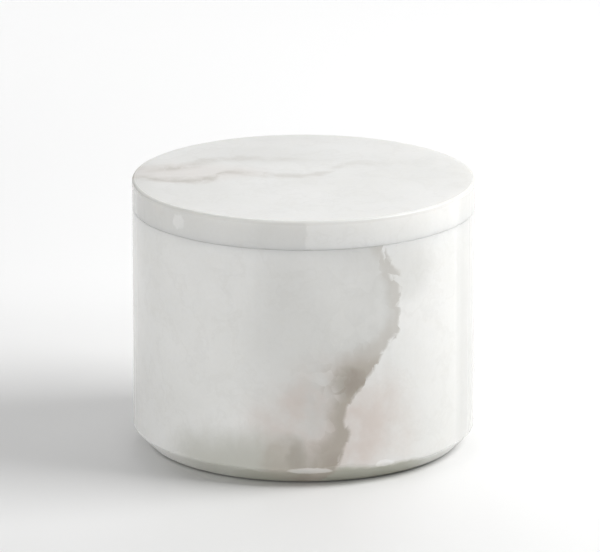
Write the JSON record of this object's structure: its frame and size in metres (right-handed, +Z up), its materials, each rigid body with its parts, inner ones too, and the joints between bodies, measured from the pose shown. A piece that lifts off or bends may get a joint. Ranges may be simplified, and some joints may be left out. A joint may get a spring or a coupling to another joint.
{
  "type": "lidded cream jar",
  "caption": "Round cream jar in polished veined alabaster: lift-off flush stone lid on a ribbed plug, inner sealing disc, and a removable refill cup hung in a mouth collar.",
  "frame": {"origin": "centre of the base pad's underside, on the surface the jar stands on", "axes": "+Z up along the jar's axis; +X and +Y across it, with the collar's two nail notches on the X axis"},
  "size_m": [0.082, 0.082, 0.065],
  "materials": {
    "alabaster": "polished",
    "moulding": "satin",
    "cup_plastic": "gloss",
    "disc_plastic": "satin",
    "silicone": "matte",
    "foam": "matte",
    "adhesive": "satin"
  },
  "bodies": {
    "jar": {"stone_jar": "alabaster", "base_pad": "silicone", "pad_bond": "adhesive", "collar": "moulding", "collar_bond": "adhesive"},
    "refill": {"refill_cup": "cup_plastic"},
    "disc": {"sealing_disc": "disc_plastic"},
    "grip": {"grip_ring": "silicone"},
    "lid": {"stone_lid": "alabaster", "lid_plug": "moulding", "lid_bond": "adhesive", "lid_wad": "foam"}
  },
  "joints": [
    {"name": "cup_lift", "type": "slide", "parent": "jar", "child": "refill", "axis": [0, 0, 1], "range_m": [0, 0.055]},
    {"name": "disc_lift", "type": "slide", "parent": "refill", "child": "disc", "axis": [0, 0, 1], "range_m": [0, 0.025]},
    {"name": "lid_lift", "type": "slide", "parent": "disc", "child": "grip", "axis": [0, 0, 1], "range_m": [0, 0.04]},
    {"name": "lid_turn", "type": "hinge", "parent": "grip", "child": "lid", "pos_m": [0, 0, 0.0556], "axis": [0, 0, 1], "continuous": true}
  ]
}
